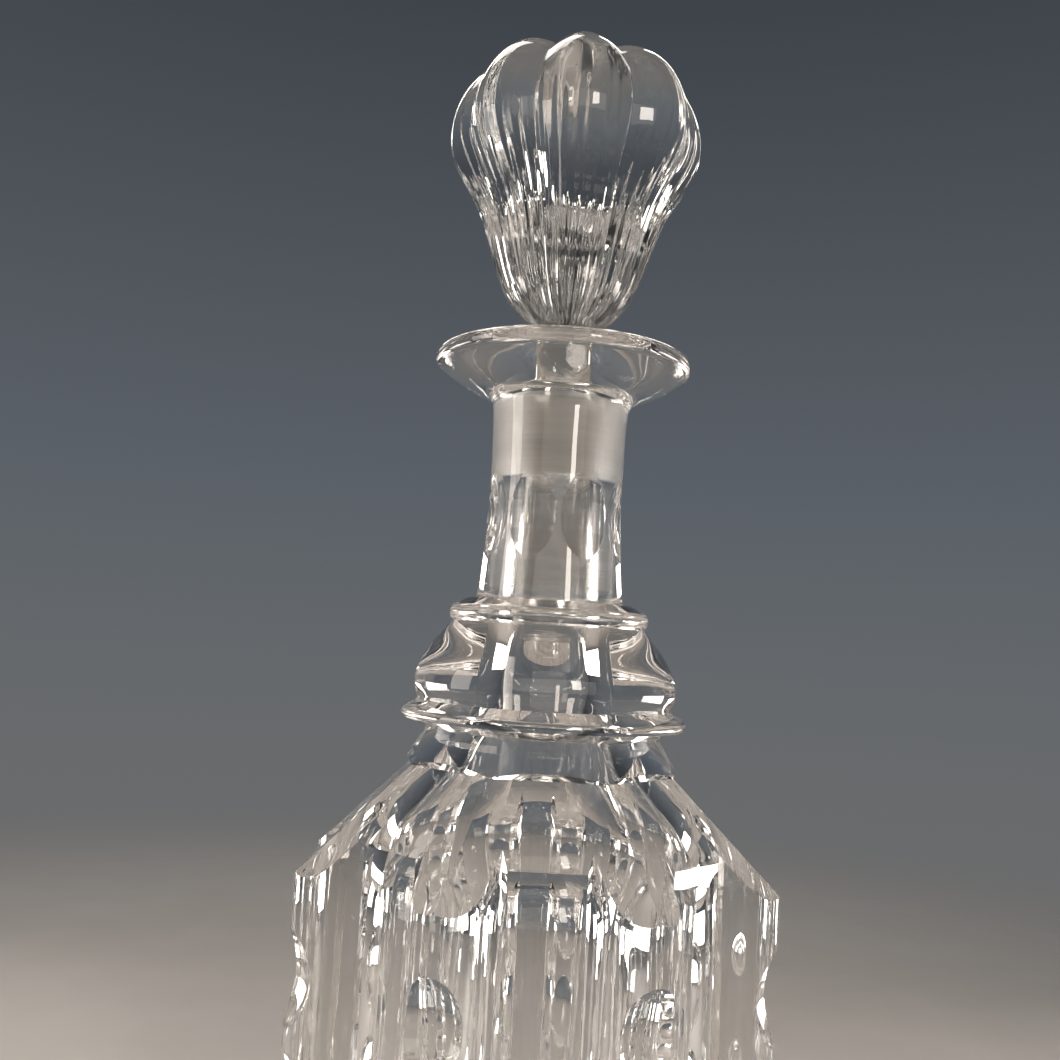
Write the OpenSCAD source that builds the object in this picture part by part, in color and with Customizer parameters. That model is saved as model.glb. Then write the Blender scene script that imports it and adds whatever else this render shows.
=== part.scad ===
// Cut crystal decanter with a ground-in stopper.
// Frame: base centre at the origin, the axis of the decanter along +Z, one flat strip facing -Y.

/* [Body] */
// Diameter over the crests of the pillars
body_d = 119; // [112:1:128]
// Distance across two opposite flat strips between the pillars
strip_af = 95; // [92:1:102]
// Width of one flat strip
strip_w = 16.8; // [14:0.2:18]
// Sideways run of a mitre groove from the edge of its strip
groove_run = 1.1; // [0.6:0.1:1.6]
// Depth of a mitre groove below its strip
groove_depth = 3.6; // [2:0.2:4.6]
// Radius of the rounded crest of a pillar
crest_r = 7.6; // [6.4:0.2:8]
// Height of the top edge of the flat strips above the base
strip_h = 103.6; // [96:0.2:120]
// Width of the bevel round the bottom edge
base_bevel = 3; // [1:0.5:6]

/* [Printies on the pillars] */
// Radius of the wheel that hollows a printie
printie_r = 14; // [11:0.5:18]
// Depth of a printie in the crest of its pillar
printie_depth = 5; // [2:0.5:6]
// Number of printies down each pillar
printie_rows = 3; // [1:1:3]
// Distance from the tip of a pillar down to its first printie
printie_drop = 23; // [20:0.5:28]
// Distance from one printie to the next
printie_pitch = 26; // [23:0.5:28]

/* [Shoulder] */
// Slope of the shoulder facets below the horizontal
facet_angle = 45; // [42:0.5:48]
// Distance of the top edge of a facet from the axis
facet_top = 31.1; // [30:0.1:33]
// Rise from the top of the strips to the foot of the neck
shoulder_rise = 24.9; // [23:0.1:27]
// Diameter of the shoulder where it meets the lower ring
shoulder_top_d = 57.4; // [55:0.2:60]
// Flare of the plain collar above the facets, measured from the vertical
collar_angle = 32; // [26:1:34]

/* [Applied neck rings] */
// Outer diameter of the neck under the rings
ring_seat_d = 37; // [34:0.5:38]
// Gap of the fused seam between a ring and the neck
seam = 0.05; // [0.02:0.01:0.1]
// Diameter of the lower ring at its edge
lower_ring_d = 70.6; // [66:0.2:76]
// Height of the lower ring
lower_ring_h = 6.7; // [5:0.1:9]
// Largest diameter of the knop
knop_d = 65; // [60:0.5:70]
// Diameter of the knop where the lower ring meets it
knop_foot_d = 62.6; // [58:0.2:64]
// Diameter of the knop where the upper ring meets it
knop_top_d = 48.2; // [45:0.2:52]
// Height of the knop
knop_h = 19.5; // [15:0.5:25]
// Height of the widest part of the knop above its foot
knop_belly_h = 4.2; // [3:0.1:6]
// Diameter of the upper ring at its edge
upper_ring_d = 50; // [49:0.5:58]
// Height of the upper ring
upper_ring_h = 5.8; // [5:0.1:8]
// Radius of the rounded edge of the upper ring
upper_edge_r = 2.2; // [1.5:0.1:2.4]
// Radius of the rounded edge of the lower ring
lower_edge_r = 1.5; // [0.8:0.1:2]

/* [Neck and lip] */
// Outer diameter of the neck at its waist
neck_d = 33.4; // [32:0.2:36]
// Height of the neck from the upper ring to the lip
neck_h = 51.5; // [46:0.5:60]
// Height of the waist above the upper ring
waist_h = 29; // [24:0.5:34]
// Diameter of the neck just under the lip
neck_top_d = 34.6; // [33.4:0.2:37]
// Height of a neck oval
oval_h = 19.7; // [16:0.1:22]
// Width of a neck oval
oval_w = 12; // [10:0.1:12.6]
// Height of the middle of the neck ovals above the upper ring
oval_mid_h = 21.8; // [16:0.2:28]
// Diameter of the lip
lip_d = 65; // [56:0.5:74]
// Slope of the lip above the horizontal
lip_angle = 27; // [20:1:32]
// Thickness of the lip
lip_t = 4.6; // [3.6:0.1:6]
// Swell of the underside of the lip
lip_belly = 0.8; // [0:0.1:1.5]

/* [Inside] */
// Glass left behind a mitre groove
wall_t = 5.3; // [4:0.1:8]
// Thickness of the base
floor_t = 12; // [8:0.5:18]
// Radius inside the bottom corner
corner_r = 8; // [4:0.5:14]
// Glass behind a shoulder facet, square to it
shoulder_t = 8; // [6:0.5:9]
// Diameter of the shallow hollow under the base
hollow_d = 64; // [40:1:76]
// Depth of the hollow under the base
hollow_depth = 3; // [1:0.5:5]

/* [Ground seat and stopper] */
// Diameter of the ground seat at its top
seat_d = 23.2; // [22:0.2:24]
// Taper of the seat and the peg, half angle
taper = 3.3; // [1:0.1:4]
// Length of the ground seat, which ends where its taper runs into the bore of the neck
seat_h = 22; // [16:0.5:24]
// Clearance between peg and seat
peg_gap = 0.1; // [0.05:0.01:0.1]
// Length of the ground peg
peg_h = 21; // [18:0.5:26]
// Radius of the rounded foot of the peg
peg_round = 2.6; // [1:0.1:4]
// Height of the curved shoulder between peg and stem
peg_shoulder = 11; // [8:0.5:13]
// Diameter of the stem between peg and head
stem_d = 13.8; // [12:0.2:15.4]
// Length of the stem
stem_h = 5.5; // [4:0.5:9]
// Largest diameter of the stopper's head
head_d = 65; // [56:0.5:76]
// Height of the head
head_h = 72.4; // [68:0.2:80]
// Diameter of the small bulb at the foot of the head
bulb_d = 32; // [28:0.2:38]
// Height of the bulb above the foot of the head
bulb_h = 9; // [7:0.5:12]
// Diameter of the head's flank half way up
flank_d = 47; // [43:0.5:54]
// Height of that flank above the foot of the head
flank_h = 29.5; // [25:0.5:35]
// Height of the widest part above the foot of the head
widest_h = 48; // [44:0.5:54]
// Diameter of the ring of lobes on the crown
crown_d = 30.4; // [26:0.2:36]
// Swell of the rounded edge between the widest part and the crown
crown_swell = 4.4; // [2:0.2:6]
// Depth of the dip in the middle of the crown
crown_dip = 3; // [1:0.5:5]
// Depth of the hollows between the lobes as a part of the radius
lobe_depth = 0.1; // [0.04:0.01:0.15]

/* [Hidden] */
clear_crystal = [0.80, 0.85, 0.88];
ring_crystal = [0.70, 0.76, 0.80];
knop_crystal = [0.84, 0.84, 0.80];
stopper_crystal = [0.86, 0.88, 0.86];
$fn = 96;
// Panels round the decanter: pillars, strips, facets, ovals and lobes all share this number
panels = 8;
panel_angle = 360 / panels;
front = -90;
over = 1;

// Heights of the stack, each from the one below it
shoulder_z = strip_h + shoulder_rise;
lower_ring_z = shoulder_z;
knop_z = lower_ring_z + lower_ring_h;
upper_ring_z = knop_z + knop_h;
neck_z = upper_ring_z + upper_ring_h;
lip_z = neck_z + neck_h;

// Plan of the body: a strip, its two grooves and the pillar that starts from them
body_r = body_d / 2;
strip_r = strip_af / 2;
groove_x = strip_r - groove_depth;
groove_y = strip_w / 2 + groove_run;
groove_r = norm([groove_x, groove_y]);
root_angle = panel_angle / 2 - atan2(groove_y, groove_x);
root_x = groove_r * cos(root_angle);
root_y = groove_r * sin(root_angle);
crest_x = body_r - crest_r;
side_angle = atan2(root_y, root_x - crest_x) - acos(crest_r / norm([root_x - crest_x, root_y]));
side_r = crest_r - 0.03;
side_x = crest_x + side_r * cos(side_angle);
side_y = side_r * sin(side_angle);

// Shoulder facets: each plane falls outward through the top edge of its strip
facet_up = (strip_r - facet_top) / cos(facet_angle);
facet_top_z = strip_h + (strip_r - facet_top) * tan(facet_angle);
pillar_tip_z = strip_h - (body_r * cos(panel_angle / 2) - strip_r) * tan(facet_angle);
collar_drop = shoulder_z - strip_h;

// Inside: cavity, bore and seat
cavity_r = groove_r - wall_t;
seat_top_z = lip_z + over;
seat_foot_z = seat_top_z - seat_h;
seat_top_r = seat_d / 2;
bore_r = seat_top_r - seat_h * tan(taper);
inner_offset = shoulder_t / sin(facet_angle);
cavity_top_z = strip_h - (cavity_r - strip_r + inner_offset) * tan(facet_angle);
bore_foot_z = strip_h - (bore_r - strip_r + inner_offset) * tan(facet_angle);
hollow_r = (hollow_d * hollow_d / 4 + hollow_depth * hollow_depth) / (2 * hollow_depth);

// Lip: a flared disc of even thickness with a rounded rim
neck_r = neck_d / 2;
neck_top_r = neck_top_d / 2;
ring_seat_r = ring_seat_d / 2;
rim_x = lip_d / 2 - lip_t / 2;
rim_z = lip_z + (rim_x - neck_top_r) * tan(lip_angle) + lip_t / 2 / cos(lip_angle);
mouth_z = rim_z + lip_t / 2 / cos(lip_angle) - (rim_x - seat_top_r) * tan(lip_angle);

// Stopper: stands in the seat with an even gap
peg_top_r = seat_top_r - peg_gap / cos(taper);
peg_foot_r = peg_top_r - peg_h * tan(taper);
stem_r = stem_d / 2;
stem_z = seat_top_z + peg_shoulder;
head_z = stem_z + stem_h;
head_sink = 0.2;
head_steps = 30;
lobe_steps = 8;
head_sides = panels * lobe_steps;
head_outline = [
    [stem_r - head_sink, -head_sink],
    [bulb_d / 2, bulb_h],
    [flank_d / 2, flank_h],
    [head_d / 2, widest_h],
    [(head_d + crown_d) / 4 + crown_swell, (widest_h + 2 * head_h) / 3],
    [crown_d / 2, head_h],
    [0, head_h - crown_dip]
];

// Points of an arc from angle a0 to angle a1
function arc(x, y, r, a0, a1, steps = 10) =
    [for (i = [0:steps]) [x, y] + r * [cos(a0 + (a1 - a0) * i / steps), sin(a0 + (a1 - a0) * i / steps)]];

// Point of a smooth curve through a list of points, at t from 0 to 1
function curve_point(list, t) =
    let (last = len(list) - 1, u = t * last, i = min(floor(u), last - 1), f = u - i)
    let (p0 = list[max(i - 1, 0)], p1 = list[i], p2 = list[i + 1], p3 = list[min(i + 2, last)])
    0.5 * (2 * p1 + (p2 - p0) * f + (2 * p0 - 5 * p1 + 4 * p2 - p3) * f * f
        + (3 * p1 - p0 - 3 * p2 + p3) * f * f * f);

function ease(t) = let (u = min(max(t, 0), 1)) u * u * (3 - 2 * u);

// Radius of the neck at height h above the upper ring: a flared foot, a waist and a slight widening
function neck_radius(h) = h < waist_h
    ? neck_r + (ring_seat_r - neck_r) * pow(1 - h / waist_h, 2)
    : neck_r + (neck_top_r - neck_r) * pow((h - waist_h) / (neck_h - waist_h), 2);

// Point of the underside of the lip, from the neck at t = 0 to the rim at t = 1
function lip_underside(t) =
    let (start = [neck_top_r, lip_z], down = [sin(lip_angle), -cos(lip_angle)])
    let (end = [rim_x, rim_z] + lip_t / 2 * down)
    start + t * (end - start) + 4 * t * (1 - t) * lip_belly * down;

// Rounded blade of an applied ring, from the bore outward
function ring_section(bore, foot, top, edge, edge_r, edge_h, height) = concat(
    [[bore, 0], [foot, 0]],
    arc(edge - edge_r, edge_h, edge_r, -50, 60),
    [[top, height], [bore, height]]);

// Places its children once in front of every strip, or over every pillar with half = 1
module around(half = 0) {
    for (i = [0:panels - 1])
        rotate([0, 0, front + (i + half / 2) * panel_angle])
            children();
}

// Body of the vessel before the shoulder is cut: strips and grooves, then the pillars
module fluted_block(height) {
    strip_points = [
        [groove_x, -groove_y],
        [strip_r, -strip_w / 2],
        [strip_r, strip_w / 2],
        [groove_x, groove_y]
    ];
    turn = [for (i = [0:panels - 1]) front + i * panel_angle];
    linear_extrude(height)
        polygon([for (a = turn, p = strip_points)
            [p.x * cos(a) - p.y * sin(a), p.x * sin(a) + p.y * cos(a)]]);
    around(half = 1)
        pillar(height);
}

module pillar(height) {
    linear_extrude(height)
        polygon([
            [root_x - crest_r, -root_y],
            [root_x, -root_y],
            [side_x, -side_y],
            [side_x, side_y],
            [root_x, root_y],
            [root_x - crest_r, root_y]
        ]);
    translate([crest_x, 0, 0])
        cylinder(r = crest_r, h = height);
}

// Collar, neck and lip in one turned shape
module turned_neck() {
    neck_steps = 12;
    collar_r = shoulder_top_d / 2;
    rotate_extrude()
        polygon(concat(
            [[0, strip_h - over], [collar_r + collar_drop * tan(collar_angle), strip_h]],
            [[collar_r, shoulder_z], [ring_seat_r, shoulder_z]],
            [for (i = [0:neck_steps])
                [neck_radius(neck_h * i / neck_steps), neck_z + neck_h * i / neck_steps]],
            [for (i = [1:5]) lip_underside(i / 6)],
            arc(rim_x, rim_z, lip_t / 2, lip_angle - 90, lip_angle + 90),
            [[0, rim_z + lip_t / 2]]));
}

// Everything that the blown space, the bore, the ground seat and the dished mouth take away
module inner_space() {
    rotate_extrude()
        polygon(concat(
            [[0, floor_t]],
            arc(cavity_r - corner_r, floor_t + corner_r, corner_r, -90, 0),
            [[cavity_r, cavity_top_z], [bore_r, bore_foot_z], [bore_r, seat_foot_z]],
            [[seat_top_r, seat_top_z], [seat_top_r, mouth_z]],
            [[rim_x, mouth_z + (rim_x - seat_top_r) * tan(lip_angle)]],
            [[rim_x, rim_z + lip_t], [0, rim_z + lip_t]]));
}

// One shoulder facet: all glass above its sloping plane and below its top edge
module facet_cut() {
    reach = body_d;
    translate([strip_r, 0, strip_h])
        rotate([0, facet_angle, 0])
            translate([-facet_up, -reach / 2, 0])
                cube(reach);
}

// Hollow oval in the neck, sized so that it reaches its height and its width on the neck
module oval_cut() {
    r = neck_radius(oval_mid_h);
    edge_x = sqrt(r * r - oval_w * oval_w / 4);
    wheel_x = ((oval_h * oval_h - oval_w * oval_w) / 4 / (r - edge_x) + r + edge_x) / 2;
    wheel_r = norm([oval_h / 2, wheel_x - r]);
    translate([wheel_x, 0, neck_z + oval_mid_h])
        sphere(r = wheel_r);
}

module printie_cuts() {
    for (row = [0:printie_rows - 1])
        translate([
            body_r - printie_depth + printie_r,
            0,
            pillar_tip_z - printie_drop - row * printie_pitch
        ])
            sphere(r = printie_r);
}

module bevel_cut() {
    rotate_extrude()
        polygon([
            [body_r - base_bevel - over, -over],
            [body_r + over, -over],
            [body_r + over, base_bevel + over]
        ]);
}

module vessel() {
    color(clear_crystal)
        difference() {
            union() {
                fluted_block(facet_top_z);
                turned_neck();
            }
            around() facet_cut();
            around(half = 1) oval_cut();
            around(half = 1) printie_cuts();
            bevel_cut();
            translate([0, 0, hollow_depth - hollow_r]) sphere(r = hollow_r);
            inner_space();
        }
}

module lower_neck_ring() {
    color(ring_crystal)
        translate([0, 0, lower_ring_z])
            rotate_extrude()
                polygon(ring_section(ring_seat_r + seam, shoulder_top_d / 2, knop_foot_d / 2,
                    lower_ring_d / 2, lower_edge_r, lower_ring_h / 2, lower_ring_h));
}

// The knop swells from its narrow top to a low belly and turns in again at its foot
module neck_knop() {
    steps = 12;
    belly = knop_d / 2;
    foot = knop_foot_d / 2;
    top = knop_top_d / 2;
    color(knop_crystal)
        translate([0, 0, knop_z])
            rotate_extrude()
                polygon(concat(
                    [[ring_seat_r + seam, 0]],
                    [for (i = [0:steps / 3])
                        let (a = 270 * i / steps)
                        [foot + (belly - foot) * sin(a), knop_belly_h * i * 3 / steps]],
                    [for (i = [1:steps])
                        let (a = 90 - 90 * i / steps)
                        [top + (belly - top) * sin(a), knop_belly_h + (knop_h - knop_belly_h) * i / steps]],
                    [[ring_seat_r + seam, knop_h]]));
}

module upper_neck_ring() {
    color(ring_crystal)
        translate([0, 0, upper_ring_z])
            rotate_extrude()
                polygon(ring_section(ring_seat_r + seam, knop_top_d / 2, ring_seat_r + upper_edge_r,
                    upper_ring_d / 2, upper_edge_r, upper_edge_r, upper_ring_h));
}

// Ground peg, clear stem and the lobed head, in one solid of glass
module stopper() {
    shoulder_steps = 12;
    color(stopper_crystal) {
        rotate_extrude()
            polygon(concat(
                [[0, seat_top_z - peg_h]],
                arc(peg_foot_r - peg_round, seat_top_z - peg_h + peg_round, peg_round, -90, 0, 6),
                [for (i = [0:shoulder_steps])
                    let (f = i / shoulder_steps)
                    [peg_top_r - (peg_top_r - stem_r) * (1 - cos(180 * f)) / 2, seat_top_z + peg_shoulder * f]],
                [[stem_r, head_z], [0, head_z]]));
        translate([0, 0, head_z])
            lobed_head();
    }
}

// Point of the head at t along its outline and step j round it
function head_point(t, j) =
    let (p = curve_point(head_outline, t), a = front + 360 * j / head_sides)
    let (fade = ease(t / 0.1) * ease((1 - t) / 0.2))
    let (k = 1 - lobe_depth * fade * (1 - abs(cos(panels / 2 * (a - front)))))
    [p.x * k * cos(a), p.x * k * sin(a), widest_h + (p.y - widest_h) * (p.y > widest_h ? k : 1)];

module lobed_head() {
    rings = [for (i = [0:head_steps - 1], j = [0:head_sides - 1]) head_point(i / head_steps, j)];
    points = concat(rings, [head_point(1, 0)]);
    tip = len(rings);
    last = (head_steps - 1) * head_sides;
    foot = [for (j = [0:head_sides - 1]) j];
    side = [for (i = [0:head_steps - 2], j = [0:head_sides - 1])
        let (a = i * head_sides + j, b = i * head_sides + (j + 1) % head_sides)
        each [[a, a + head_sides, b], [b, a + head_sides, b + head_sides]]];
    crown = [for (j = [0:head_sides - 1]) [last + j, tip, last + (j + 1) % head_sides]];
    polyhedron(points, concat([foot], side, crown));
}

vessel();
lower_neck_ring();
neck_knop();
upper_neck_ring();
stopper();
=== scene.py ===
"""Cut crystal decanter: the glass, the ground joint, the studio and the camera.

Every piece is rebuilt in millimetres from the sizes of the part, as smooth glass in place of the CAD mesh.
"""

import math

import bmesh
import bpy
import numpy as np
from mathutils import Matrix, Vector


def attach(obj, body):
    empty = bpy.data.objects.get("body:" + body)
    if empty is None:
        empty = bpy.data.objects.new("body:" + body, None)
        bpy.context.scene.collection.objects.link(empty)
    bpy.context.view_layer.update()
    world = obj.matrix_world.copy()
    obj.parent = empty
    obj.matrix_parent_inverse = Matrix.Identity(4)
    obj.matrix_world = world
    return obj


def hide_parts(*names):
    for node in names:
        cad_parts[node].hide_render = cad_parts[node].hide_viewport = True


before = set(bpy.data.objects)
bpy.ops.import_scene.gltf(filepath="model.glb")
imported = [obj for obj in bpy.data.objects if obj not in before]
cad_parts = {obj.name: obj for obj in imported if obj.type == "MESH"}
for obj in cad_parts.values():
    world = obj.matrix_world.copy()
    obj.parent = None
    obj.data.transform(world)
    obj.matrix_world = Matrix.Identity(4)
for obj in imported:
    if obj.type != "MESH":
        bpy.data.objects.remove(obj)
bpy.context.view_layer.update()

MM = 0.001
PANELS = 8
PANEL = 2 * math.pi / PANELS
FRONT = -math.pi / 2
TURN_SIDES = 360
RING_SIDES = 320
BALL_SIDES = 96
OVAL_SIDES = 160
HOLLOW_SIDES = 400
SLIVER = 0.005

# Body in plan: flat strips, mitre grooves and rounded pillars
BODY_R = 59.5
STRIP_R = 47.5
STRIP_W = 16.8
GROOVE_X = 43.9
GROOVE_Y = 9.5
CREST_R = 7.6
STRIP_H = 103.6

# Foot: bevel round the edge and a shallow hollow underneath
BEVEL = 3.0
HOLLOW_R = 32.0
HOLLOW_DEPTH = 3.0

# Printies on the pillars, from the top row down
PRINTIE_R = 14.0
PRINTIE_DEPTH = 5.0
PRINTIE_Z = [73.1 - 26 * row for row in range(3)]

# Shoulder, with facets that fall at 45 degrees
FACET_TOP = 31.1
FACET_TOP_Z = STRIP_H + STRIP_R - FACET_TOP
SHOULDER_Z = STRIP_H + 24.9
COLLAR_R = 28.7
COLLAR_SLOPE = math.tan(math.radians(32))

# Rings and knop round the foot of the neck
SEAT_R = 18.5
SEAM = 0.05
LOWER_RING_R = 35.3
LOWER_RING_H = 6.7
LOWER_RING_EDGE_R = 1.5
KNOP_R = 32.5
KNOP_FOOT_R = 31.3
KNOP_TOP_R = 24.1
KNOP_H = 19.5
KNOP_BELLY_H = 4.2
UPPER_RING_R = 25.0
UPPER_RING_TOP_R = 20.7
UPPER_RING_H = 5.8
UPPER_RING_EDGE_R = 2.2
KNOP_Z = SHOULDER_Z + LOWER_RING_H
UPPER_RING_Z = KNOP_Z + KNOP_H

# Neck and lip
NECK_Z = UPPER_RING_Z + UPPER_RING_H
NECK_H = 51.5
WAIST_H = 29.0
WAIST_R = 16.7
NECK_TOP_R = 17.3
OVAL_H = 19.7
OVAL_W = 12.0
OVAL_MID_H = 21.8
LIP_Z = NECK_Z + NECK_H
LIP_R = 32.5
LIP_T = 4.6
LIP_ANGLE = math.radians(27)
LIP_BELLY = 0.8
LIP_BEND = 4.5

# Inside
CAVITY_R = 39.62
CAVITY_TOP_Z = 100.17
FLOOR_T = 12.0
FLOOR_BEND = 8.0
SHOULDER_BEND = 28.0
BORE_BEND = 40.0
GROUND_TOP_Z = LIP_Z + 1
GROUND_FOOT_Z = GROUND_TOP_Z - 22
GROUND_TOP_R = 11.6
TAPER = math.tan(math.radians(3.3))
BORE_R = GROUND_TOP_R - (GROUND_TOP_Z - GROUND_FOOT_Z) * TAPER
BORE_FOOT_Z = CAVITY_TOP_Z + CAVITY_R - BORE_R

# Stopper
PEG_TOP_R = 11.5
PEG_H = 21.0
PEG_ROUND = 2.6
PEG_SHOULDER = 11.0
STEM_R = 6.9
STEM_H = 5.5
HEAD_Z = GROUND_TOP_Z + PEG_SHOULDER + STEM_H
WIDEST_H = 48.0
LOBE_DEPTH = 0.1
HEAD_OUTLINE = [(6.7, -0.2), (16, 9), (23.5, 29.5), (32.5, 48), (28.25, 64.27), (15.2, 72.4), (0, 69.4)]
STOPPER_SIDES = 704
HEAD_STEPS = 104

# Glass and light: the share of a lamp's light that passes clear and ground glass, and the lamps' colour
IOR = 1.55
LAMP_THROUGH_CLEAR = 0.55
LAMP_THROUGH_GROUND = 0.6
LAMP_COLOUR = (1.0, 0.915, 0.835)

# Floor, a film of air below the foot: without it the floor would show through the base as a flat patch
FLOOR_REACH = 3000
FLOOR_GAP = 0.1

# Camera, where the photographer stood: metres, degrees and the focal length in millimetres
EYE_Z = 0.152
EYE_AWAY = 0.286
EYE_TURN = -3.5
LOOK_SIDE = 1.2
LOOK_UP = 5.3
ROLL = 3.4
LENS = 38.5


# Small helpers for outlines

def arc(x, y, r, start, end, steps):
    angles = np.radians(np.linspace(start, end, steps + 1))
    return [(x + r * math.cos(a), y + r * math.sin(a)) for a in angles]


def rounded(points, radii, steps=10):
    """Outline with some corners rounded: radii maps the number of a corner to its radius."""
    out = []
    for i, p in enumerate(points):
        if i not in radii:
            out.append(tuple(p))
            continue
        p = Vector(p)
        a = (Vector(points[i - 1]) - p).normalized()
        b = (Vector(points[i + 1]) - p).normalized()
        half = math.acos(max(-1, min(1, a.dot(b)))) / 2
        cut = radii[i] / math.tan(half)
        centre = p + (a + b).normalized() * (radii[i] / math.sin(half))
        first = p + a * cut - centre
        last = p + b * cut - centre
        spread = math.acos(max(-1, min(1, first.dot(last) / radii[i] ** 2)))
        for k in range(steps + 1):
            t = k / steps
            w0 = math.sin((1 - t) * spread) / math.sin(spread)
            w1 = math.sin(t * spread) / math.sin(spread)
            out.append(tuple(centre + first * w0 + last * w1))
    return out


def curve_point(points, t):
    """Point of a smooth curve through the points, at t from 0 to 1."""
    last = len(points) - 1
    u = t * last
    i = min(int(u), last - 1)
    f = u - i
    p0, p1, p2, p3 = (np.array(points[min(max(i + k, 0), last)], float) for k in (-1, 0, 1, 2))
    return 0.5 * (2 * p1 + (p2 - p0) * f + (2 * p0 - 5 * p1 + 4 * p2 - p3) * f ** 2
                  + (3 * p1 - p0 - 3 * p2 + p3) * f ** 3)


def ease(t):
    u = min(max(t, 0), 1)
    return u * u * (3 - 2 * u)


def neck_radius(h):
    if h < WAIST_H:
        return WAIST_R + (SEAT_R - WAIST_R) * (1 - h / WAIST_H) ** 2
    return WAIST_R + (NECK_TOP_R - WAIST_R) * ((h - WAIST_H) / (NECK_H - WAIST_H)) ** 2


class Outline:
    """A run of 2-D points with the smooth normal on its right-hand side at both ends of each step."""

    def __init__(self, points, closed=False, crease=20):
        p = np.array(points, float)
        if closed:
            p = np.vstack([p, p[:1]])
        self.a, self.b = p[:-1], p[1:]
        d = self.b - self.a
        self.length = np.linalg.norm(d, axis=1)
        self.d = d / self.length[:, None]
        n = np.stack([self.d[:, 1], -self.d[:, 0]], axis=1)
        before, after = np.roll(n, 1, axis=0), np.roll(n, -1, axis=0)
        if not closed:
            before[0], after[-1] = n[0], n[-1]
        limit = math.cos(math.radians(crease))
        w = 1 / self.length[:, None]
        w0, w1 = np.roll(w, 1, axis=0), np.roll(w, -1, axis=0)
        smooth0 = ((n * before).sum(1) > limit)[:, None]
        smooth1 = ((n * after).sum(1) > limit)[:, None]
        self.n0 = np.where(smooth0, n * w + before * w0, n)
        self.n1 = np.where(smooth1, n * w + after * w1, n)
        self.n0 /= np.linalg.norm(self.n0, axis=1)[:, None]
        self.n1 /= np.linalg.norm(self.n1, axis=1)[:, None]

    def normals(self, q):
        """Smooth normals of the outline at the places nearest to the 2-D points q."""
        out = np.empty_like(q)
        for start in range(0, len(q), 4000):
            part = q[start:start + 4000, None, :]
            along = ((part - self.a) * self.d).sum(2)
            along = np.clip(along, 0, self.length)
            gap = np.linalg.norm(part - (self.a + along[..., None] * self.d), axis=2)
            best = gap.argmin(1)
            t = (along[np.arange(len(best)), best] / self.length[best])[:, None]
            out[start:start + 4000] = self.n0[best] * (1 - t) + self.n1[best] * t
        return out


# Solids that the glass is cut from. Each knows the exact normal of its own surface

def new_object(name, verts, faces):
    mesh = bpy.data.meshes.new(name)
    mesh.from_pydata([tuple(np.array(v) * MM) for v in verts], [], faces)
    mesh.validate()
    ob = bpy.data.objects.new(name, mesh)
    bpy.context.scene.collection.objects.link(ob)
    return ob


def turned(name, points, sides=TURN_SIDES):
    """Solid of revolution: points run upward on the outside, from the axis to the axis or round a ring."""
    ring = points[0][0] > 1e-6
    verts, rows = [], []
    for r, z in points:
        if r < 1e-6:
            rows.append([len(verts)] * sides)
            verts.append((0, 0, z))
        else:
            rows.append(list(range(len(verts), len(verts) + sides)))
            for j in range(sides):
                a = 2 * math.pi * j / sides
                verts.append((r * math.cos(a), r * math.sin(a), z))
    faces = []
    pairs = list(zip(rows, rows[1:])) + ([(rows[-1], rows[0])] if ring else [])
    for low, high in pairs:
        for j in range(sides):
            k = (j + 1) % sides
            face = [low[j], low[k], high[k], high[j]]
            faces.append(list(dict.fromkeys(face)))
    ob = new_object(name, verts, faces)
    outline = Outline(points, closed=ring)

    def normals(p):
        r = np.hypot(p[:, 0], p[:, 1])
        flat = outline.normals(np.stack([r, p[:, 2]], axis=1))
        outward = p[:, :2] / np.maximum(r, 1e-9)[:, None]
        return np.column_stack([outward * flat[:, :1], flat[:, 1]])

    return ob, normals


def prism(name, plan, low, high):
    """Upright solid over a plan that runs anticlockwise."""
    n = len(plan)
    verts = [(x, y, low) for x, y in plan] + [(x, y, high) for x, y in plan]
    faces = [[i, (i + 1) % n, n + (i + 1) % n, n + i] for i in range(n)]
    faces += [list(range(n))[::-1], list(range(n, 2 * n))]
    ob = new_object(name, verts, faces)
    outline = Outline(plan, closed=True)

    def normals(p):
        flat = outline.normals(p[:, :2])
        out = np.column_stack([flat, np.zeros(len(p))])
        out[p[:, 2] < low + 0.001] = (0, 0, -1)
        return out

    return ob, normals


def ball(name, centre, r, sides=BALL_SIDES):
    points = arc(0, 0, r, -90, 90, sides // 2)
    points[0] = (0, -r)
    points[-1] = (0, r)
    ob, _ = turned(name, points, sides)
    # the poles of the mesh point outward, away from the cut
    turn = Matrix.Rotation(math.pi / 2, 4, "Y") @ Matrix.Rotation(0.1, 4, "Z")
    ob.data.transform(turn)
    ob.data.transform(Matrix.Translation(Vector(centre) * MM))

    def normals(p):
        d = p - np.array(centre)
        return d / np.linalg.norm(d, axis=1)[:, None]

    return ob, normals


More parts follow.
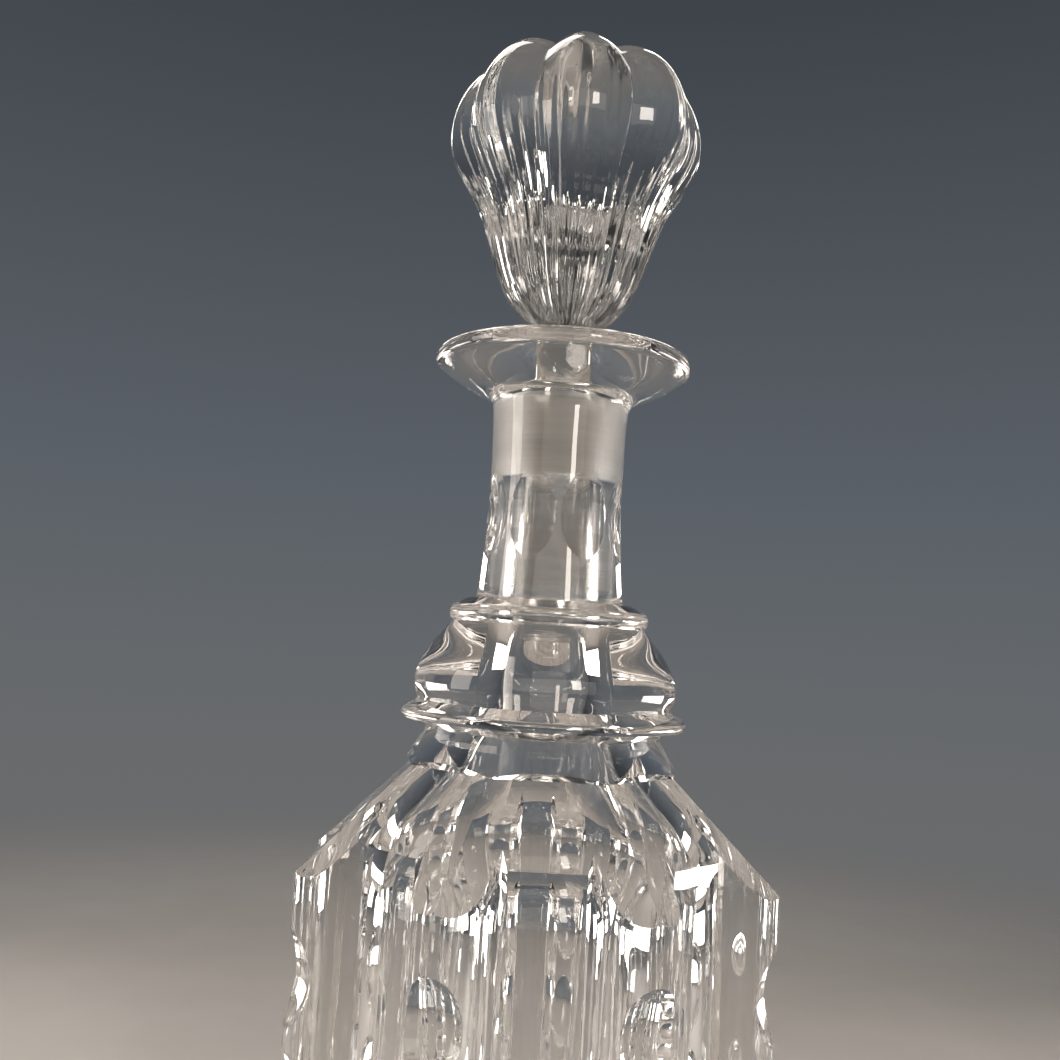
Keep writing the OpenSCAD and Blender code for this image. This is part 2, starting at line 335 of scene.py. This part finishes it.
def wedge(name, angle):
    """All glass above one shoulder facet and below the facet's top edge."""
    s = math.sqrt(0.5)
    up = (STRIP_R - FACET_TOP) / s
    out, side, rise = np.array([s, 0, -s]), np.array([0, 1, 0]), np.array([s, 0, s])
    corner = np.array([STRIP_R, 0, STRIP_H]) - out * up
    reach = 90
    c, w = math.cos(angle), math.sin(angle)
    spin = np.array([[c, -w, 0], [w, c, 0], [0, 0, 1]])
    verts = [spin @ (corner + out * reach * i + side * reach * (j - 0.5) + rise * reach * k)
             for k in (0, 1) for j in (0, 1) for i in (0, 1)]
    faces = [(0, 2, 3, 1), (4, 5, 7, 6), (0, 1, 5, 4), (2, 6, 7, 3), (0, 4, 6, 2), (1, 3, 7, 5)]
    ob = new_object(name, verts, faces)
    plane, end = spin @ -rise, spin @ -out
    foot = spin @ corner

    def normals(p):
        on_plane = np.abs((p - foot) @ plane) < np.abs((p - foot) @ end)
        return np.where(on_plane[:, None], plane, end)

    return ob, normals


def around(half=0):
    return [FRONT + (i + half / 2) * PANEL for i in range(PANELS)]


def body_plan():
    root = math.hypot(GROOVE_X, GROOVE_Y)
    root_angle = PANEL / 2 - math.atan2(GROOVE_Y, GROOVE_X)
    crest_x = BODY_R - CREST_R
    gap = Vector((root * math.cos(root_angle) - crest_x, root * math.sin(root_angle)))
    side = math.degrees(math.atan2(gap.y, gap.x) - math.acos(CREST_R / gap.length))
    plan = []
    for i in range(PANELS):
        half = STRIP_W / 2
        strip = [(GROOVE_X, -GROOVE_Y), (STRIP_R, -half), (STRIP_R, half), (GROOVE_X, GROOVE_Y)]
        pillar = arc(crest_x, 0, CREST_R, -side, side, 32)
        for points, turn in ((strip, FRONT + i * PANEL), (pillar, FRONT + (i + 0.5) * PANEL)):
            c, s = math.cos(turn), math.sin(turn)
            plan += [(x * c - y * s, x * s + y * c) for x, y in points]
    return plan


def neck_outline():
    """Collar, ring seat, neck and lip, from the axis low down to the axis above the lip."""
    rim_x = LIP_R - LIP_T / 2
    rim_z = LIP_Z + (rim_x - NECK_TOP_R) * math.tan(LIP_ANGLE) + LIP_T / 2 / math.cos(LIP_ANGLE)
    steps = 40
    neck = [(neck_radius(NECK_H * i / steps), NECK_Z + NECK_H * i / steps) for i in range(steps - 4)]
    slope = math.degrees(LIP_ANGLE)
    rim = arc(rim_x, rim_z, LIP_T / 2, slope - 90, slope + 90, 36)
    start, end = np.array((NECK_TOP_R, LIP_Z)), np.array(rim[0])
    down = np.array((math.sin(LIP_ANGLE), -math.cos(LIP_ANGLE)))
    under = [tuple(start + t * (end - start) + 4 * t * (1 - t) * LIP_BELLY * down)
             for t in np.linspace(0.3, 0.98, 18)]
    corner = rounded([neck[-1], (NECK_TOP_R, LIP_Z), under[0]], {1: LIP_BEND}, 14)
    collar = [(COLLAR_R + (SHOULDER_Z - STRIP_H) * COLLAR_SLOPE, STRIP_H), (COLLAR_R, SHOULDER_Z)]
    low = [(0, STRIP_H - 1)] + collar + [(SEAT_R, SHOULDER_Z)]
    return low + neck + corner[1:-1] + under + rim + [(0, rim_z + LIP_T / 2)], (rim_x, rim_z)


def inner_outline(rim_x, rim_z):
    """The blown space, the bore, the ground seat and the dished mouth."""
    dish = math.tan(LIP_ANGLE)
    mouth_z = rim_z + LIP_T / 2 / math.cos(LIP_ANGLE) - (rim_x - GROUND_TOP_R) * dish
    points = [
        (0, FLOOR_T), (CAVITY_R, FLOOR_T), (CAVITY_R, CAVITY_TOP_Z), (BORE_R, BORE_FOOT_Z),
        (BORE_R, GROUND_FOOT_Z), (GROUND_TOP_R, GROUND_TOP_Z),
        (GROUND_TOP_R, mouth_z), (rim_x, mouth_z + (rim_x - GROUND_TOP_R) * dish),
        (rim_x, rim_z + LIP_T), (0, rim_z + LIP_T)]
    return rounded(points, {1: FLOOR_BEND, 2: SHOULDER_BEND, 3: BORE_BEND})


def tag(ob, name):
    ob.data.materials.append(bpy.data.materials.new("cut_" + name))
    return ob


def cut_vessel():
    """The vessel as one closed mesh, and the normals of each surface that bounds it, by its tag's name."""
    block, block_normals = prism("block", body_plan(), 0, FACET_TOP_Z)
    tag(block, "block")
    tools = {"cut_block": (block_normals, 1)}
    used = [block]

    def use(name, made, operation="DIFFERENCE"):
        ob, normals = made
        tag(ob, name)
        tools["cut_" + name] = (normals, 1 if operation == "UNION" else -1)
        cut = block.modifiers.new(name, "BOOLEAN")
        cut.operation = operation
        cut.solver = "MANIFOLD"
        cut.material_mode = "TRANSFER"
        cut.object = ob
        used.append(ob)

    outline, rim = neck_outline()
    use("neck", turned("neck", outline), "UNION")
    for i, a in enumerate(around()):
        use(f"facet_{i}", wedge(f"facet_{i}", a))
    mid = neck_radius(OVAL_MID_H)
    edge = math.sqrt(mid ** 2 - OVAL_W ** 2 / 4)
    wheel_x = ((OVAL_H ** 2 - OVAL_W ** 2) / 4 / (mid - edge) + mid + edge) / 2
    wheel_r = math.hypot(OVAL_H / 2, wheel_x - mid)
    printie_x = BODY_R - PRINTIE_DEPTH + PRINTIE_R
    for i, a in enumerate(around(half=1)):
        c, s = math.cos(a), math.sin(a)
        place = (wheel_x * c, wheel_x * s, NECK_Z + OVAL_MID_H)
        use(f"oval_{i}", ball(f"oval_{i}", place, wheel_r, OVAL_SIDES))
        for row, z in enumerate(PRINTIE_Z):
            name = f"printie_{i}_{row}"
            use(name, ball(name, (printie_x * c, printie_x * s, z), PRINTIE_R))
    bevel = [(BODY_R - BEVEL - 1, -1), (BODY_R + 1, -1), (BODY_R + 1, BEVEL + 1)]
    use("bevel", turned("bevel", bevel))
    hollow_r = (HOLLOW_R ** 2 + HOLLOW_DEPTH ** 2) / (2 * HOLLOW_DEPTH)
    use("hollow", ball("hollow", (0, 0, HOLLOW_DEPTH - hollow_r), hollow_r, HOLLOW_SIDES))
    use("inside", turned("inside", inner_outline(*rim)))

    bpy.context.view_layer.update()
    graph = bpy.context.evaluated_depsgraph_get()
    mesh = bpy.data.meshes.new_from_object(block.evaluated_get(graph))
    for ob in used:
        bpy.data.objects.remove(ob)
    grid = bmesh.new()
    grid.from_mesh(mesh)
    bmesh.ops.dissolve_degenerate(grid, dist=SLIVER * MM, edges=grid.edges)
    grid.to_mesh(mesh)
    grid.free()
    return mesh, tools


def exact_normals(mesh, tools):
    """Gives each corner of a cut mesh the normal of the surface it was cut by."""
    co = np.empty(len(mesh.vertices) * 3)
    mesh.vertices.foreach_get("co", co)
    co = co.reshape(-1, 3) / MM
    corner = np.empty(len(mesh.loops), int)
    mesh.loops.foreach_get("vertex_index", corner)
    total = np.empty(len(mesh.polygons), int)
    mesh.polygons.foreach_get("loop_total", total)
    centre = np.empty(len(mesh.polygons) * 3)
    mesh.polygons.foreach_get("center", centre)
    flat = np.empty(len(mesh.polygons) * 3)
    mesh.polygons.foreach_get("normal", flat)
    kind = np.empty(len(mesh.polygons), int)
    mesh.polygons.foreach_get("material_index", kind)
    owner = np.repeat(np.arange(len(total)), total)
    centre = (centre.reshape(-1, 3) / MM)[owner]
    flat = flat.reshape(-1, 3)[owner]
    # a little way inside each face, so that a corner on an edge keeps to its own face's surface
    spot = co[corner] * 0.97 + centre * 0.03
    result = flat.copy()
    for i, material in enumerate(mesh.materials):
        mine = kind[owner] == i
        if mine.any():
            normals, sign = tools[material.name]
            result[mine] = normals(spot[mine]) * sign
    result /= np.linalg.norm(result, axis=1)[:, None]
    # where the two lie far apart, the face's own normal is kept
    wrong = (result * flat).sum(1) < 0.5
    result[wrong] = flat[wrong]
    mesh.shade_smooth()
    mesh.normals_split_custom_set(result)


# Materials

def new_material(name):
    material = bpy.data.materials.new(name)
    material.use_nodes = True
    nodes = material.node_tree.nodes
    nodes.clear()
    return material, nodes, material.node_tree.links


def add(nodes, kind, **values):
    node = nodes.new(kind)
    for key, value in values.items():
        if hasattr(node, key):
            setattr(node, key, value)
        else:
            node.inputs[key.replace("_", " ")].default_value = value
    return node


def ramp(nodes, stops):
    node = nodes.new("ShaderNodeValToRGB")
    while len(node.color_ramp.elements) < len(stops):
        node.color_ramp.elements.new(0.5)
    for element, (place, colour) in zip(node.color_ramp.elements, stops):
        element.position = place
        element.color = (*colour, 1)
    return node


def let_lamps_through(nodes, links, shader, passed):
    """Lamps reach the floor and the glass behind, as through real glass, at the given strength."""
    path = nodes.new("ShaderNodeLightPath")
    clear = nodes.new("ShaderNodeBsdfTransparent")
    clear.inputs["Color"].default_value = (passed, passed, passed, 1)
    mix = nodes.new("ShaderNodeMixShader")
    out = nodes.new("ShaderNodeOutputMaterial")
    links.new(path.outputs["Is Shadow Ray"], mix.inputs["Fac"])
    links.new(shader.outputs["BSDF"], mix.inputs[1])
    links.new(clear.outputs["BSDF"], mix.inputs[2])
    links.new(mix.outputs["Shader"], out.inputs["Surface"])


def crystal(name, cool, warm):
    """Polished lead crystal: a faint drift of tint, slow ripples from the wheel and a few smears."""
    material, nodes, links = new_material(name)
    place = nodes.new("ShaderNodeTexCoord").outputs["Object"]
    glass = nodes.new("ShaderNodeBsdfPrincipled")
    glass.inputs["Transmission Weight"].default_value = 1.0
    glass.inputs["IOR"].default_value = IOR

    drift = add(nodes, "ShaderNodeTexNoise", Scale=38.0, Detail=2.0)
    tint = ramp(nodes, [(0.35, cool), (0.7, warm)])
    links.new(place, drift.inputs["Vector"])
    links.new(drift.outputs["Fac"], tint.inputs["Fac"])
    links.new(tint.outputs["Color"], glass.inputs["Base Color"])

    smear = add(nodes, "ShaderNodeTexNoise", Scale=90.0, Detail=5.0, Roughness=0.6)
    film = add(nodes, "ShaderNodeMapRange", To_Min=0.0, To_Max=0.05, From_Min=0.52, From_Max=0.85)
    links.new(place, smear.inputs["Vector"])
    links.new(smear.outputs["Fac"], film.inputs["Value"])
    links.new(film.outputs["Result"], glass.inputs["Roughness"])

    ripple = add(nodes, "ShaderNodeTexNoise", Scale=70.0, Detail=1.0)
    bump = add(nodes, "ShaderNodeBump", Strength=0.06, Distance=0.002)
    links.new(place, ripple.inputs["Vector"])
    links.new(ripple.outputs["Fac"], bump.inputs["Height"])
    links.new(bump.outputs["Normal"], glass.inputs["Normal"])
    let_lamps_through(nodes, links, glass, LAMP_THROUGH_CLEAR)
    return material


def ground_glass(name, dark, light, matt, passed, ends):
    """Glass ground matt in its joint, with fine rings from the grinding that fade out at both ends.

    ends gives two heights in millimetres where the ground band stops, softly, below and above.
    """
    material, nodes, links = new_material(name)
    place = nodes.new("ShaderNodeTexCoord").outputs["Object"]
    glass = nodes.new("ShaderNodeBsdfPrincipled")
    glass.inputs["IOR"].default_value = IOR

    stretch = nodes.new("ShaderNodeMapping")
    stretch.inputs["Scale"].default_value = (90, 90, 4200)
    lines = add(nodes, "ShaderNodeTexNoise", Scale=1.0, Detail=3.0, Roughness=0.6)
    bands = nodes.new("ShaderNodeMapping")
    bands.inputs["Scale"].default_value = (12, 12, 260)
    cloud = add(nodes, "ShaderNodeTexNoise", Scale=1.0, Detail=4.0, Roughness=0.6)
    blend = add(nodes, "ShaderNodeMath", operation="MULTIPLY")
    for mapping, noise in ((stretch, lines), (bands, cloud)):
        links.new(place, mapping.inputs["Vector"])
        links.new(mapping.outputs["Vector"], noise.inputs["Vector"])
    links.new(lines.outputs["Fac"], blend.inputs[0])
    links.new(cloud.outputs["Fac"], blend.inputs[1])

    split = nodes.new("ShaderNodeSeparateXYZ")
    links.new(place, split.inputs["Vector"])
    uneven = add(nodes, "ShaderNodeMath", operation="MULTIPLY_ADD")
    sway = 0.006
    uneven.inputs[1].default_value = sway
    links.new(cloud.outputs["Fac"], uneven.inputs[0])
    links.new(split.outputs["Z"], uneven.inputs[2])
    low, high = (e * MM + sway / 2 for e in ends)
    foot = add(nodes, "ShaderNodeMapRange", From_Min=low - 0.001, From_Max=low + 0.001)
    head = add(nodes, "ShaderNodeMapRange", From_Min=high + 0.0015, From_Max=high - 0.0015)
    band = add(nodes, "ShaderNodeMath", operation="MULTIPLY")
    for side, socket in ((foot, 0), (head, 1)):
        links.new(uneven.outputs["Value"], side.inputs["Value"])
        links.new(side.outputs["Result"], band.inputs[socket])

    tone = ramp(nodes, [(0.12, dark), (0.42, light)])
    links.new(blend.outputs["Value"], tone.inputs["Fac"])
    colour = nodes.new("ShaderNodeMix")
    colour.data_type = "RGBA"
    colour.inputs["A"].default_value = (0.97, 0.97, 0.95, 1)
    links.new(band.outputs["Value"], colour.inputs["Factor"])
    links.new(tone.outputs["Color"], colour.inputs["B"])
    links.new(colour.outputs["Result"], glass.inputs["Base Color"])
    clear = add(nodes, "ShaderNodeMapRange", To_Min=1.0, To_Max=passed)
    links.new(band.outputs["Value"], clear.inputs["Value"])
    links.new(clear.outputs["Result"], glass.inputs["Transmission Weight"])
    grain = add(nodes, "ShaderNodeMapRange", From_Min=0.1, From_Max=0.45)
    grain.inputs["To Min"].default_value = matt - 0.08
    grain.inputs["To Max"].default_value = matt + 0.08
    links.new(blend.outputs["Value"], grain.inputs["Value"])
    rough = add(nodes, "ShaderNodeMath", operation="MULTIPLY")
    links.new(grain.outputs["Result"], rough.inputs[0])
    links.new(band.outputs["Value"], rough.inputs[1])
    links.new(rough.outputs["Value"], glass.inputs["Roughness"])
    bump = add(nodes, "ShaderNodeBump", Strength=0.15, Distance=0.0002)
    links.new(lines.outputs["Fac"], bump.inputs["Height"])
    links.new(bump.outputs["Normal"], glass.inputs["Normal"])
    let_lamps_through(nodes, links, glass, LAMP_THROUGH_GROUND)
    return material


def fused_joint(name):
    """Where hot glass was joined to glass there is no surface to see."""
    material, nodes, links = new_material(name)
    clear = nodes.new("ShaderNodeBsdfTransparent")
    out = nodes.new("ShaderNodeOutputMaterial")
    links.new(clear.outputs["BSDF"], out.inputs["Surface"])
    return material


CLEAR = crystal("clear_crystal", (0.975, 0.98, 0.98), (0.985, 0.965, 0.945))
# Lip rim and rings: a warmer tint, partly the thick glass's own tint and partly a painted warm reflection
WARM_TINT_AND_REFLECTION = crystal("warm_crystal_and_painted_reflection", (0.965, 0.945, 0.925), (0.97, 0.925, 0.885))
STOPPER_CLEAR = crystal("stopper_crystal", (0.975, 0.98, 0.975), (0.98, 0.95, 0.905))
PEG_GROUND = ground_glass("ground_peg", (0.44, 0.41, 0.35), (0.62, 0.59, 0.52), 0.55, 0.75, (186, 211))
# The seat has the peg's ground finish in darker greys: painted shade for the inside of the neck
SHADED_SEAT_GROUND = ground_glass("ground_seat_painted_shade", (0.28, 0.27, 0.25), (0.42, 0.405, 0.38), 0.5, 0.6, (191.5, 212.5))
BORE_CLOUDED = ground_glass("clouded_bore", (0.50, 0.48, 0.45), (0.74, 0.71, 0.67), 0.16, 0.84, (163, 189.5))
FUSED = fused_joint("fused_joint")


# Pieces

def finish_glass(mesh, name, materials, choose):
    """Makes the piece. choose gives a face its material, from its centre in millimetres and its normal."""
    mesh.name = name
    mesh.materials.clear()
    for material in materials:
        mesh.materials.append(material)
    for face in mesh.polygons:
        face.material_index = materials.index(choose(face.center / MM, face.normal))
    ob = bpy.data.objects.new(name, mesh)
    bpy.context.scene.collection.objects.link(ob)
    return ob


def vessel_face(c, n):
    r = math.hypot(c.x, c.y)
    under_rings = abs(r - SEAT_R) < 0.1 and SHOULDER_Z < c.z < NECK_Z
    if under_rings or (abs(c.z - SHOULDER_Z) < 0.02 and n.z > 0.9):
        return FUSED
    # the ground seat in the neck, in the darker greys of painted shade
    if r < GROUND_TOP_R + 0.2 and GROUND_FOOT_Z - 0.6 < c.z < GROUND_TOP_Z + 0.05:
        return SHADED_SEAT_GROUND
    if r < GROUND_TOP_R and NECK_Z - 8 < c.z < GROUND_FOOT_Z:
        return BORE_CLOUDED
    # the lip's rim takes the warmer glass, which is partly a painted warm reflection
    on_rim = r > LIP_R - LIP_T / 2 - 0.5 and c.z > LIP_Z
    return WARM_TINT_AND_REFLECTION if on_rim else CLEAR


def make_vessel():
    mesh, tools = cut_vessel()
    exact_normals(mesh, tools)
    return finish_glass(mesh, "vessel_glass", [CLEAR, SHADED_SEAT_GROUND, FUSED, WARM_TINT_AND_REFLECTION, BORE_CLOUDED], vessel_face)


def make_ring(name, points, z, fused_above=True):
    """A turned ring of glass. Its bore, its foot and, with fused_above, its top are fused joints."""
    ob, normals = turned(name, [(r, h + z) for r, h in points], RING_SIDES)
    mesh = ob.data
    top = z + max(h for _, h in points)
    tag(ob, name)
    exact_normals(mesh, {"cut_" + name: (normals, 1)})
    bpy.data.objects.remove(ob)

    # the ring's outside takes the warmer glass, which is partly a painted warm reflection
    def choose(c, n):
        on_neck = math.hypot(c.x, c.y) < SEAT_R + 0.2
        below = abs(c.z - z) < 0.01
        above = fused_above and abs(c.z - top) < 0.01
        return FUSED if on_neck or below or above else WARM_TINT_AND_REFLECTION

    return finish_glass(mesh, name, [WARM_TINT_AND_REFLECTION, FUSED], choose)


def ring_section(foot, top, edge, edge_r, edge_h, height):
    bore = SEAT_R + SEAM
    blade = arc(edge - edge_r, edge_h, edge_r, -50, 60, 24)
    return [(bore, 0), (foot, 0)] + blade + [(top, height), (bore, height)]


def knop_section():
    bore = SEAT_R + SEAM
    quarter = math.pi / 2
    swell, fall, rise = KNOP_R - KNOP_FOOT_R, KNOP_R - KNOP_TOP_R, KNOP_H - KNOP_BELLY_H
    low = [(KNOP_FOOT_R + swell * math.sin(quarter * i / 16), KNOP_BELLY_H * i / 16) for i in range(17)]
    high = [(KNOP_TOP_R + fall * math.cos(quarter * i / 48), KNOP_BELLY_H + rise * i / 48)
            for i in range(1, 49)]
    return [(bore, 0)] + low + high + [(bore, KNOP_H)]


def head_row(t, sides):
    """One level of the lobed head, with the fine ripples that run up it from the stem."""
    r, h = curve_point(HEAD_OUTLINE, t)
    fade = ease(t / 0.1) * ease((1 - t) / 0.2)
    row = []
    for j in range(sides):
        a = FRONT + 2 * math.pi * j / sides
        valley = 1 - abs(math.cos(PANELS / 2 * (a - FRONT)))
        wander = 1.6 * math.sin(5 * t + 2 * a) + 0.9 * math.sin(9 * t - 3 * a)
        ripple = 0.011 * math.sin(56 * a + wander) + 0.005 * math.sin(97 * a - 1.4 * wander)
        flank = 0.4 + 0.6 * valley ** 0.7
        patchy = 0.7 + 0.3 * math.sin(3 * a + 4 * t)
        strength = ease((0.66 - t) / 0.4) * flank * patchy
        k = 1 + fade * (ripple * strength - LOBE_DEPTH * valley)
        z = HEAD_Z + (WIDEST_H + (h - WIDEST_H) * k if h > WIDEST_H else h)
        row.append((r * k * math.cos(a), r * k * math.sin(a), z))
    return row


def peg_outline():
    """Foot, ground taper, shoulder and stem of the stopper, from the foot up."""
    foot_r = PEG_TOP_R - PEG_H * TAPER
    foot_z = GROUND_TOP_Z - PEG_H
    taper_r, taper_h = PEG_TOP_R - foot_r, PEG_H - PEG_ROUND
    foot = arc(foot_r - PEG_ROUND, foot_z + PEG_ROUND, PEG_ROUND, -90, 0, 8)
    taper = [(foot_r + taper_r * i / 6, foot_z + PEG_ROUND + taper_h * i / 6) for i in range(1, 6)]
    shoulder = [(PEG_TOP_R - (PEG_TOP_R - STEM_R) * (1 - math.cos(math.pi * i / 20)) / 2,
                 GROUND_TOP_Z + PEG_SHOULDER * i / 20) for i in range(21)]
    stem = [(STEM_R, GROUND_TOP_Z + PEG_SHOULDER + h) for h in (1.5, 3, 4.5)]
    return [(3, foot_z)] + foot + taper + shoulder + stem


def make_stopper():
    sides = STOPPER_SIDES
    turn = [FRONT + 2 * math.pi * j / sides for j in range(sides)]
    rows = [[(r * math.cos(a), r * math.sin(a), z) for a in turn] for r, z in peg_outline()]
    rows += [head_row(i / HEAD_STEPS, sides) for i in range(2, HEAD_STEPS)]
    verts = [(0, 0, GROUND_TOP_Z - PEG_H)] + [v for row in rows for v in row] + [head_row(1, 1)[0]]
    faces = [[0, 1 + (j + 1) % sides, 1 + j] for j in range(sides)]
    for i in range(len(rows) - 1):
        base = 1 + i * sides
        for j in range(sides):
            k = (j + 1) % sides
            faces.append([base + j, base + k, base + sides + k, base + sides + j])
    base = 1 + (len(rows) - 1) * sides
    tip = len(verts) - 1
    faces += [[base + j, base + (j + 1) % sides, tip] for j in range(sides)]
    ob = new_object("stopper_grid", verts, faces)
    mesh = ob.data
    bpy.data.objects.remove(ob)
    mesh.shade_smooth()
    mesh.set_sharp_from_angle(angle=math.radians(22))

    def choose(c, n):
        return PEG_GROUND if c.z < GROUND_TOP_Z and n.z > -0.95 else STOPPER_CLEAR

    return finish_glass(mesh, "stopper_glass", [STOPPER_CLEAR, PEG_GROUND], choose)


vessel = make_vessel()
lower_ring = make_ring("lower_ring_glass", ring_section(
    COLLAR_R, KNOP_FOOT_R, LOWER_RING_R, LOWER_RING_EDGE_R, LOWER_RING_H / 2, LOWER_RING_H), SHOULDER_Z)
knop = make_ring("knop_glass", knop_section(), KNOP_Z)
upper_ring = make_ring("upper_ring_glass", ring_section(
    KNOP_TOP_R, UPPER_RING_TOP_R, UPPER_RING_R, UPPER_RING_EDGE_R, UPPER_RING_EDGE_R, UPPER_RING_H),
    UPPER_RING_Z, fused_above=False)
stopper = make_stopper()

for piece, node in ((vessel, "vessel"), (lower_ring, "lower_neck_ring"), (knop, "neck_knop"),
                    (upper_ring, "upper_neck_ring")):
    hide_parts(node)
    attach(piece, "decanter")
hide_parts("stopper")
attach(stopper, "stopper")


# Studio

def floor_paper():
    """Pale matt paper with a faint fleck, fading into the room far from the object."""
    material, nodes, links = new_material("floor_paper")
    place = nodes.new("ShaderNodeTexCoord").outputs["Object"]
    fleck = add(nodes, "ShaderNodeTexNoise", Scale=30.0, Detail=6.0)
    tone = ramp(nodes, [(0.3, (0.52, 0.50, 0.48)), (0.7, (0.55, 0.53, 0.51))])
    paint = nodes.new("ShaderNodeBsdfPrincipled")
    paint.inputs["Roughness"].default_value = 0.7
    links.new(place, fleck.inputs["Vector"])
    links.new(fleck.outputs["Fac"], tone.inputs["Fac"])
    links.new(tone.outputs["Color"], paint.inputs["Base Color"])
    away = nodes.new("ShaderNodeVectorMath")
    away.operation = "LENGTH"
    fade = add(nodes, "ShaderNodeMapRange", From_Min=0.2, From_Max=0.7)
    fade.interpolation_type = "SMOOTHSTEP"
    links.new(place, away.inputs[0])
    links.new(away.outputs["Value"], fade.inputs["Value"])
    gone = nodes.new("ShaderNodeBsdfTransparent")
    mix = nodes.new("ShaderNodeMixShader")
    out = nodes.new("ShaderNodeOutputMaterial")
    links.new(fade.outputs["Result"], mix.inputs["Fac"])
    links.new(paint.outputs["BSDF"], mix.inputs[1])
    links.new(gone.outputs["BSDF"], mix.inputs[2])
    links.new(mix.outputs["Shader"], out.inputs["Surface"])
    return material


corners = [(-FLOOR_REACH, -FLOOR_REACH), (FLOOR_REACH, -FLOOR_REACH),
           (FLOOR_REACH, FLOOR_REACH), (-FLOOR_REACH, FLOOR_REACH)]
floor = new_object("floor", [(x, y, -FLOOR_GAP) for x, y in corners], [(0, 1, 2, 3)])
floor.data.materials.append(floor_paper())


def soft_room():
    """A plain room without a horizon: pale low down, blue-grey behind the glass, dim overhead."""
    world = bpy.data.worlds.new("studio")
    bpy.context.scene.world = world
    world.use_nodes = True
    nodes, links = world.node_tree.nodes, world.node_tree.links
    way = nodes.new("ShaderNodeTexCoord").outputs["Generated"]
    split = nodes.new("ShaderNodeSeparateXYZ")
    height = add(nodes, "ShaderNodeMapRange", From_Min=-1.0, From_Max=1.0)
    tone = ramp(nodes, [
        (0.40, (0.15, 0.15, 0.15)),
        (0.485, (0.13, 0.14, 0.15)),
        (0.56, (0.105, 0.12, 0.138)),
        (0.75, (0.05, 0.058, 0.068)),
        (1.0, (0.025, 0.028, 0.033)),
    ])
    links.new(way, split.inputs["Vector"])
    links.new(split.outputs["Z"], height.inputs["Value"])
    links.new(height.outputs["Result"], tone.inputs["Fac"])
    depth = add(nodes, "ShaderNodeMapRange", From_Min=-0.2, From_Max=0.75, To_Min=0.4, To_Max=1.0)
    depth.interpolation_type = "SMOOTHSTEP"
    links.new(split.outputs["Y"], depth.inputs["Value"])
    links.new(tone.outputs["Color"], nodes["Background"].inputs["Color"])
    links.new(depth.outputs["Result"], nodes["Background"].inputs["Strength"])


soft_room()


def softbox(name, place, aim, width, height, power, spread=180):
    """An area lamp with its sides in metres and its power in watts, out of the camera's sight."""
    light = bpy.data.lights.new(name, "AREA")
    light.shape = "RECTANGLE"
    light.size, light.size_y = width, height
    light.energy = power
    light.spread = math.radians(spread)
    light.color = LAMP_COLOUR
    ob = bpy.data.objects.new(name, light)
    ob.location = place
    ob.rotation_euler = (Vector(aim) - Vector(place)).to_track_quat("-Z", "Y").to_euler()
    ob.visible_camera = False
    bpy.context.scene.collection.objects.link(ob)


softbox("window_left", (-0.8, -0.15, 0.25), (0, 0, 0.2), 0.3, 0.5, 2.0)
softbox("strip_left", (-0.43, 0.15, 0.07), (0, 0, 0.06), 0.26, 0.12, 0.28, spread=60)
softbox("strip_right", (0.45, 0.1, 0.07), (0, 0, 0.06), 0.26, 0.12, 0.28, spread=60)
softbox("strip_back_left", (-0.30, 0.55, 0.70), (0, 0, 0.22), 0.05, 0.45, 0.9)
softbox("strip_back_right", (0.20, 0.60, 0.75), (0, 0, 0.22), 0.05, 0.45, 0.9)
softbox("wall_front", (0.1, -1.1, 0.42), (0, 0, 0.2), 1.6, 0.6, 3.2)
softbox("window_front", (0.35, -0.8, 0.42), (0, 0, 0.2), 0.12, 0.3, 1.6)
softbox("overhead", (-0.3, 0.45, 1.15), (0, 0, 0.15), 0.45, 0.45, 2.6)


# Camera: where the photographer stood, turned up a little so that the seated stopper is in the frame

def aim_camera():
    turn, up_angle, roll = math.radians(EYE_TURN), math.radians(LOOK_UP), math.radians(ROLL)
    place = Vector((math.sin(turn) * EYE_AWAY, -math.cos(turn) * EYE_AWAY, EYE_Z))
    upright = Vector((0, 0, 1))
    level = Matrix.Rotation(math.radians(LOOK_SIDE), 3, "Z") @ Vector((-math.sin(turn), math.cos(turn), 0))
    side = level.cross(upright).normalized()
    ahead = (level * math.cos(up_angle) + upright * math.sin(up_angle)).normalized()
    over = side.cross(ahead)
    up = over * math.cos(roll) - side * math.sin(roll)
    right = side * math.cos(roll) + over * math.sin(roll)
    data = bpy.data.cameras.new("camera")
    data.sensor_width = 36
    data.lens = LENS
    data.clip_start = 0.01
    ob = bpy.data.objects.new("camera", data)
    ob.matrix_world = Matrix.Translation(place) @ Matrix((right, up, -ahead)).transposed().to_4x4()
    bpy.context.scene.collection.objects.link(ob)
    bpy.context.scene.camera = ob


aim_camera()
scene = bpy.context.scene
scene.view_settings.view_transform = "Standard"
# light passes many surfaces of glass on its way
scene.cycles.max_bounces = 40
scene.cycles.transmission_bounces = 40
scene.cycles.glossy_bounces = 12
scene.cycles.transparent_max_bounces = 64
